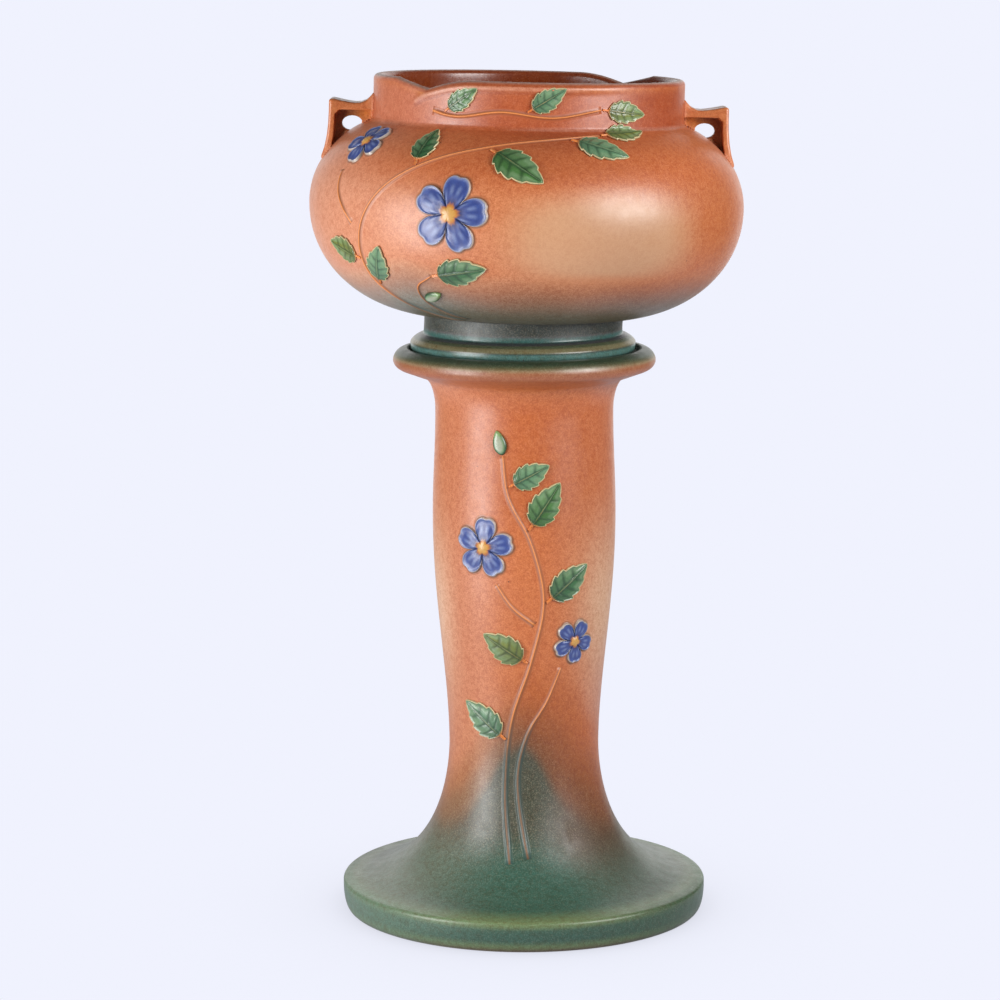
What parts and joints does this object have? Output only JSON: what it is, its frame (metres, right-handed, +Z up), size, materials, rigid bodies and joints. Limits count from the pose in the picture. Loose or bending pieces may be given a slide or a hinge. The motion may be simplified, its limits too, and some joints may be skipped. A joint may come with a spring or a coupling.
{
  "type": "jardiniere with pedestal",
  "caption": "Glazed ceramic jardiniere: a round-bellied bowl with lug handles, a notched rim and flower relief, resting in the collar of a turned pedestal.",
  "frame": {"origin": "centre of the pedestal's foot, on the floor", "axes": "+Z up, -Y the front, +X the right-hand handle seen from the front"},
  "size_m": [0.3764, 0.3764, 0.7398],
  "materials": {
    "terracotta": "satin airbrushed glaze, terracotta with a cream patch and a grey-green foot",
    "pedestal_glaze": "satin airbrushed glaze, terracotta shaft shading to green at the base and collar",
    "leaf_green": "satin green glaze with cream edges",
    "blossom_blue": "satin blue glaze with pale edges",
    "bud_green": "satin dark green glaze",
    "stem_orange": "satin orange glaze"
  },
  "bodies": {
    "pedestal": {"pedestal": "pedestal_glaze", "pedestal_back_blossom_1": "blossom_blue", "pedestal_back_blossom_2": "blossom_blue", "pedestal_back_bud_1": "bud_green", "pedestal_back_leaf_1": "leaf_green", "pedestal_back_leaf_2": "leaf_green", "pedestal_back_leaf_3": "leaf_green", "pedestal_back_leaf_4": "leaf_green", "pedestal_back_leaf_5": "leaf_green", "pedestal_back_stem_1": "stem_orange", "pedestal_back_stem_2": "stem_orange", "pedestal_back_stem_3": "stem_orange", "pedestal_front_blossom_1": "blossom_blue", "pedestal_front_blossom_2": "blossom_blue", "pedestal_front_bud_1": "bud_green", "pedestal_front_leaf_1": "leaf_green", "pedestal_front_leaf_2": "leaf_green", "pedestal_front_leaf_3": "leaf_green", "pedestal_front_leaf_4": "leaf_green", "pedestal_front_leaf_5": "leaf_green", "pedestal_front_stem_1": "stem_orange", "pedestal_front_stem_2": "stem_orange", "pedestal_front_stem_3": "stem_orange"},
    "jardiniere": {"bowl_back_blossom_1": "blossom_blue", "bowl_back_blossom_2": "blossom_blue", "bowl_back_bud_1": "bud_green", "bowl_back_leaf_1": "leaf_green", "bowl_back_leaf_10": "leaf_green", "bowl_back_leaf_2": "leaf_green", "bowl_back_leaf_3": "leaf_green", "bowl_back_leaf_4": "leaf_green", "bowl_back_leaf_5": "leaf_green", "bowl_back_leaf_6": "leaf_green", "bowl_back_leaf_7": "leaf_green", "bowl_back_leaf_8": "leaf_green", "bowl_back_leaf_9": "leaf_green", "bowl_back_stem_1": "stem_orange", "bowl_back_stem_2": "stem_orange", "bowl_back_stem_3": "stem_orange", "bowl_back_stem_4": "stem_orange", "bowl_front_blossom_1": "blossom_blue", "bowl_front_blossom_2": "blossom_blue", "bowl_front_bud_1": "bud_green", "bowl_front_leaf_1": "leaf_green", "bowl_front_leaf_10": "leaf_green", "bowl_front_leaf_2": "leaf_green", "bowl_front_leaf_3": "leaf_green", "bowl_front_leaf_4": "leaf_green", "bowl_front_leaf_5": "leaf_green", "bowl_front_leaf_6": "leaf_green", "bowl_front_leaf_7": "leaf_green", "bowl_front_leaf_8": "leaf_green", "bowl_front_leaf_9": "leaf_green", "bowl_front_stem_1": "stem_orange", "bowl_front_stem_2": "stem_orange", "bowl_front_stem_3": "stem_orange", "bowl_front_stem_4": "stem_orange", "jardiniere_bowl": "terracotta", "left_handle": "terracotta", "right_handle": "terracotta"}
  },
  "joints": [
    {"name": "jardiniere_lift", "type": "slide", "parent": "pedestal", "child": "jardiniere", "axis": [0, 0, 1], "range_m": [0, 0.15]}
  ]
}
